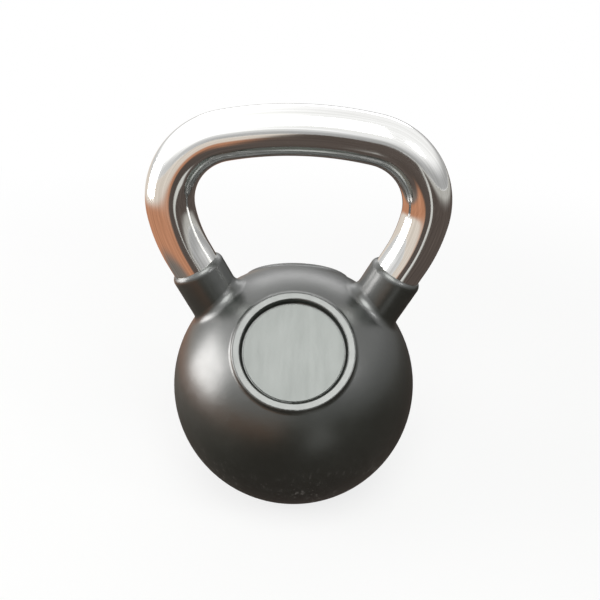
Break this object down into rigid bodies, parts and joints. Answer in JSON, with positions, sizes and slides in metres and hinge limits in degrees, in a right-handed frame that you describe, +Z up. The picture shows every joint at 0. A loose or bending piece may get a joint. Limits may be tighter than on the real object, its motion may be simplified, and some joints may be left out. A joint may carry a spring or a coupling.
{
  "type": "kettlebell",
  "caption": "Kettlebell: round rubber-covered iron ball with a flat foot, a chrome bar handle in rubber collars, and a round recessed blank badge on the upper front.",
  "frame": {"origin": "centre of the flat foot, on the floor", "axes": "+Z up, X along the grip, front at -Y where the pictured badge recess is"},
  "size_m": [0.1992, 0.172, 0.2753],
  "materials": {
    "chrome_plate": "polished chrome plate on bent steel bar",
    "cast_iron": "as-cast, shot-blasted",
    "weld_metal": "wire-brushed weld bead",
    "jacket_rubber": "satin moulded black rubber",
    "badge_vinyl": "matte grey film, blank",
    "adhesive": "double-sided adhesive film"
  },
  "bodies": {
    "root": {"handle": "chrome_plate", "core": "cast_iron", "left_weld": "weld_metal", "right_weld": "weld_metal", "jacket": "jacket_rubber", "front_badge": "badge_vinyl", "rear_badge": "badge_vinyl", "front_adhesive": "adhesive", "rear_adhesive": "adhesive"}
  },
  "joints": []
}
